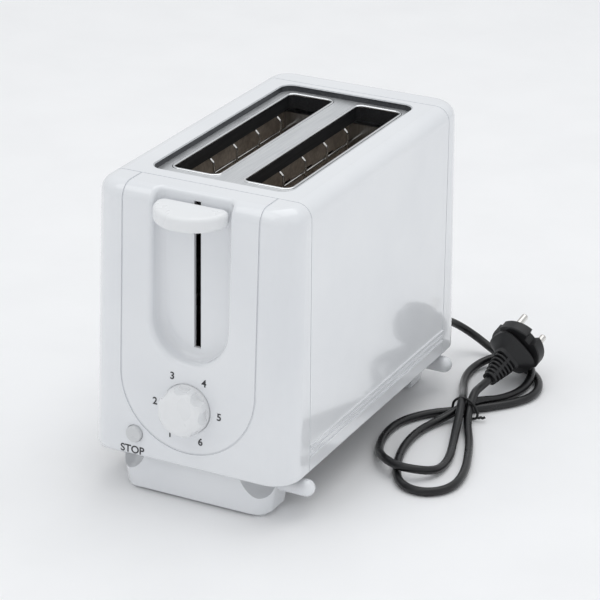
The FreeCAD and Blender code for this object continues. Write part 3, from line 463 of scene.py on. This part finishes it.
def add_lead():
    """The whole lead as one curve, from the gland through the bundle into the plug's tail."""
    tail = PLUG @ (Vector((0, 0, -PLUG_DEPTH - PLUG_TAIL)) * MM) / MM
    route = LEAD + OUTER_RIGHT + LEFT_LOOP_1 + OUTER_LEFT + LEFT_LOOP_2 + TO_PLUG + [tail]
    curve = bent_curve("mains_lead", [(route, False)], CORD_DIAMETER / 2, sides=6, steps=10)
    return add_object("mains_lead", curve, CORD_BLACK, "case",
                      ["power_cord", "plug_cord", "cord_hank"])


RING_POINTS = 120
# the notches in the head's rim: their two places, half their width in degrees, their depth
CLIP_NOTCH = ((90, 270), 10, 3.8)
SIDE_NOTCH = ((0, 180), 8, 1.8)


def plug_ring(z, half_x, half_y, power, notched):
    """Points round one section of the plug, in millimetres about its own axis."""
    points = []
    for i in range(RING_POINTS):
        degrees = 360 * i / RING_POINTS
        c, s = math.cos(math.radians(degrees)), math.sin(math.radians(degrees))
        x = half_x * math.copysign(abs(c) ** (2 / power), c)
        y = half_y * math.copysign(abs(s) ** (2 / power), s)
        limit = half_x
        for places, half_width, depth in (CLIP_NOTCH, SIDE_NOTCH):
            away = min(abs((degrees - place + 180) % 360 - 180) for place in places)
            if away < half_width:
                limit = half_x - depth
        scale = min(1.0, limit / math.hypot(x, y)) if notched else 1.0
        points.append((x * scale, y * scale, z))
    return points


def loft(mesh, sections):
    """A closed skin through sections that have the same number of points."""
    loops = [[mesh.verts.new(Vector(point) * MM) for point in ring] for ring in sections]
    for low, high in zip(loops, loops[1:]):
        for i in range(len(low)):
            j = (i + 1) % len(low)
            mesh.faces.new((low[i], low[j], high[j], high[i]))
    mesh.faces.new(reversed(loops[0]))
    mesh.faces.new(loops[-1])


def block(mesh, low, high):
    """A box between two corners, in millimetres."""
    size = [(b - a) * MM for a, b in zip(low, high)]
    middle = Vector([(a + b) / 2 for a, b in zip(low, high)]) * MM
    bmesh.ops.create_cube(mesh, size=1.0, matrix=Matrix.Translation(middle)
                          @ Matrix.Diagonal((*size, 1.0)))


def mesh_from(builder, name, smooth_under=None):
    """The finished mesh, smooth across edges that turn less than an angle in degrees."""
    bmesh.ops.recalc_face_normals(builder, faces=builder.faces)
    mesh = bpy.data.meshes.new(name)
    builder.to_mesh(mesh)
    builder.free()
    if smooth_under:
        for polygon in mesh.polygons:
            polygon.use_smooth = True
        mesh.set_sharp_from_angle(angle=math.radians(smooth_under))
    return mesh


# height on the axis, half widths, roundness and whether the rim is notched
PLUG_SECTIONS = [
    (0.0, 17.8, 17.8, 2, True), (-0.7, 18.5, 18.5, 2, True), (-7.8, 18.5, 18.5, 2, True),
    (-8.5, 17.9, 17.9, 2, True), (-9.3, 16.6, 10.6, 2.6, False), (-12.4, 16.2, 13.4, 3.4, False),
    (-17.6, 11.2, 7.8, 3.4, False), (-19.5, 9.2, 5.9, 3.6, False),
    (-22.4, 8.6, 5.5, 3.6, False), (-23.0, 6.4, 4.2, 3.0, False), (-41.6, 3.9, 3.7, 2.2, False),
    (-43.0, 3.6, 3.6, 2, False)]
RELIEF_RIBS, RIB_THICK, RIB_EDGE, RIB_ROUNDNESS = 6, 1.6, 0.3, 3.2
FIRST_RIB, RIB_REACH = -24.6, 16.6
WIDE_END, NARROW_END = (8.3, 5.6), (4.9, 4.4)
SPINE_ENDS, SPINE_ROOT = (-22.0, -41.4), 2.0
FLAT_SPINE, FLAT_HALF = (5.5, 4.2), 1.1
SIDE_SPINE, SIDE_HALF = (8.3, 4.7), 1.3
SMOOTH_UNDER = 28


def add_rib(builder, share):
    """One rib of the strain relief, at a share of the way from the wide end to the narrow."""
    top = FIRST_RIB - RIB_REACH * share
    half_x, half_y = [wide - (wide - narrow) * share
                      for wide, narrow in zip(WIDE_END, NARROW_END)]
    rings = [(0, RIB_EDGE), (RIB_EDGE, 0), (RIB_THICK - RIB_EDGE, 0), (RIB_THICK, RIB_EDGE)]
    loft(builder, [plug_ring(top - down, half_x - inset, half_y - inset, RIB_ROUNDNESS, False)
                   for down, inset in rings])


def add_plug():
    """The moulded plug: a round head with clip notches, a faceted back and a ribbed relief."""
    builder = bmesh.new()
    loft(builder, [plug_ring(*section) for section in PLUG_SECTIONS])
    for i in range(RELIEF_RIBS):
        add_rib(builder, i / (RELIEF_RIBS - 1))
    for way in (-1, 1):
        loft(builder, [[(-FLAT_HALF, SPINE_ROOT * way, z), (FLAT_HALF, SPINE_ROOT * way, z),
                        (FLAT_HALF, edge * way, z), (-FLAT_HALF, edge * way, z)]
                       for z, edge in zip(SPINE_ENDS, FLAT_SPINE)])
        loft(builder, [[(SPINE_ROOT * way, -SIDE_HALF, z), (edge * way, -SIDE_HALF, z),
                        (edge * way, SIDE_HALF, z), (SPINE_ROOT * way, SIDE_HALF, z)]
                       for z, edge in zip(SPINE_ENDS, SIDE_SPINE)])
    builder.transform(PLUG)
    return add_object("plug_moulding", mesh_from(builder, "plug_moulding", SMOOTH_UNDER),
                      PLUG_BLACK, "case", ["plug_body"])


TIE_RADIUS = 0.85
TIE_LOOP = [(90.2, 77.4, 7), (91.4, 77.2, 10.4), (95.2, 76.6, 13.6), (99.6, 76.2, 14.4),
            (104, 75.8, 12.8), (107.6, 75.4, 9.4), (109.6, 75, 5.2), (108.6, 74.8, 1.6),
            (103.6, 75.4, 0.9), (94.5, 76.6, 0.9), (90.4, 77.3, 2.6)]
TIE_END = [(108.8, 75, 3.2), (110.2, 74.6, 2.4), (111.6, 75.6, 3.6), (112.8, 75.0, 2.6),
           (114.2, 76.2, 3.8)]


def add_tie():
    """A plastic-covered wire bent round the bundle, with its two ends twisted together."""
    curve = bent_curve("bundle_tie", [(TIE_LOOP, True), (TIE_END, False)], TIE_RADIUS,
                       sides=4, steps=12)
    return add_object("bundle_tie", curve, TIE_BLACK, "case", ["cord_tie"])


# ---------------------------------------------------------------- lettering on the front
FACE_FRONT, FACE_LOW, FACE_LEAN, FACE_RISE = -125.0, 28.0, 6.4, 175.0
DIAL_LEVEL, NUMBER_RADIUS, NUMBER_HEIGHT = 67.2, 22.2, 6.6
NUMBER_ANGLES = (239, 179, 118, 59, -2, -64)
STOP_X, STOP_LEVEL, STOP_HEIGHT = -37.8, 31.6, 7.0
PRINT_THICK, PRINT_SPREAD, PRINT_LIFT = 0.06, 0.12, 0.1


def add_words(name, words, height, x, z):
    """Printed characters, laid on the front face where it leans back."""
    data = bpy.data.curves.new(name, "FONT")
    data.body = words
    data.size = height * MM
    data.offset = PRINT_SPREAD * MM
    data.align_x = "CENTER"
    data.align_y = "CENTER"
    data.extrude = PRINT_THICK * MM
    y = FACE_FRONT + FACE_LEAN * (z - FACE_LOW) / FACE_RISE - PRINT_LIFT
    tilt = math.pi / 2 - math.atan2(FACE_LEAN, FACE_RISE)
    place = Matrix.Translation(Vector((x, y, z)) * MM) @ Matrix.Rotation(tilt, 4, "X")
    add_object(name, data, INK, "case", place=place)


def add_lettering():
    """Browning steps round the dial and one plain word under the button."""
    for number, degrees in enumerate(NUMBER_ANGLES, start=1):
        angle = math.radians(degrees)
        add_words(f"dial_number_{number}", str(number), NUMBER_HEIGHT,
                  NUMBER_RADIUS * math.cos(angle), DIAL_LEVEL + NUMBER_RADIUS * math.sin(angle))
    add_words("stop_word", "STOP", STOP_HEIGHT, STOP_X, STOP_LEVEL)


# ---------------------------------------------------------------- inside the slots
SLOT_X, SLOT_HALF, SLOT_FRONT, SLOT_REAR, SLOT_RADIUS = 24.5, 16.0, -69.5, 91.5, 5.0
TRAY_TOP = 198.8
RIM_RADIUS, RIM_OUTSIDE, RIM_SINK = 1.0, 0.5, 0.25
WIRE_RADIUS, WIRE_REACH, WIRE_COUNT, WIRE_PITCH, FIRST_WIRE = 0.9, 14.5, 5, 30.6, -48.6
# an upright wire's points: how far it has bent outwards, and how high it is
WIRE_BENDS = [(0, 50.0), (0, 120.0), (0, 184.0), (0.5, 185.6), (2.0, 187.0), (4.4, 188.8)]
RAIL_LEVELS, RAIL_OFFSET = (56.0, 177.0), 1.5 * WIRE_RADIUS
RIBBON_THICK, RIBBON_WIDE, RIBBON_SHOWN, RIBBON_EDGE = 0.3, 1.7, 11, 4
RIBBON_ROWS, ROW_PITCH, FIRST_ROW = 9, 13, 9
ROW_TURNS, TURN_PITCH, FIRST_TURN = 5, 30.6, 12


def add_slot_rims():
    """The rolled edge of the steel round each bread slot."""
    lines = []
    for side in (-1, 1):
        half = SLOT_HALF + RIM_OUTSIDE
        lines.append(rounded_rectangle((side * SLOT_X - half, SLOT_FRONT - RIM_OUTSIDE),
                                       (side * SLOT_X + half, SLOT_REAR + RIM_OUTSIDE),
                                       SLOT_RADIUS + RIM_OUTSIDE, TRAY_TOP - RIM_SINK))
    add_object("slot_rims", poly_curve("slot_rims", lines, RIM_RADIUS, closed=True, sides=6),
               RIM_STEEL, "case")


def add_guard_wires():
    """Upright wires whose ends bend back under the flange, and the rods they are welded to."""
    for slot, side in (("left", -1), ("right", 1)):
        for wall, reach in (("outer", 1), ("inner", -1)):
            node = f"guard_wires_{slot}_{wall}"
            low, high = [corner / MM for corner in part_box(node)]
            away = side * reach
            x = side * SLOT_X + away * WIRE_REACH
            lines = []
            for i in range(WIRE_COUNT):
                y = FIRST_WIRE + WIRE_PITCH * i
                lines.append([(x + away * out, y, z) for out, z in WIRE_BENDS])
            for level in RAIL_LEVELS:
                rail = x + away * RAIL_OFFSET
                lines.append([(rail, low[1], level), (rail, high[1], level)])
            add_object(f"bent_wires_{slot}_{wall}",
                       poly_curve(f"bent_wires_{slot}_{wall}", lines, WIRE_RADIUS, sides=5),
                       BRIGHT_WIRE, "case", [node])


def add_ribbon_turns():
    """The resistance ribbon where it shows on a board's faces, between the slits it threads."""
    for name, faces in (("left", (1,)), ("centre", (-1, 1)), ("right", (-1,))):
        low, high = [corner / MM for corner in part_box(f"heater_board_{name}")]
        builder = bmesh.new()
        for face in faces:
            x = high[0] if face > 0 else low[0] - RIBBON_THICK
            for row in range(RIBBON_ROWS):
                z = low[2] + FIRST_ROW + ROW_PITCH * row
                stagger = TURN_PITCH / 2 * (row % 2)
                for turn in range(ROW_TURNS):
                    y = low[1] + FIRST_TURN + TURN_PITCH * turn + stagger
                    if y + RIBBON_SHOWN < high[1] - RIBBON_EDGE:
                        block(builder, (x, y, z),
                              (x + RIBBON_THICK, y + RIBBON_SHOWN, z + RIBBON_WIDE))
        add_object(f"ribbon_turns_{name}", mesh_from(builder, f"ribbon_turns_{name}"), RIBBON,
                   "case", [f"heater_ribbon_{name}"])


# ---------------------------------------------------------------- build
finish_cad_nodes()
add_camera()
add_studio()
lead = add_lead()
plug = add_plug()
tie = add_tie()
add_lettering()
add_slot_rims()
add_guard_wires()
add_ribbon_turns()
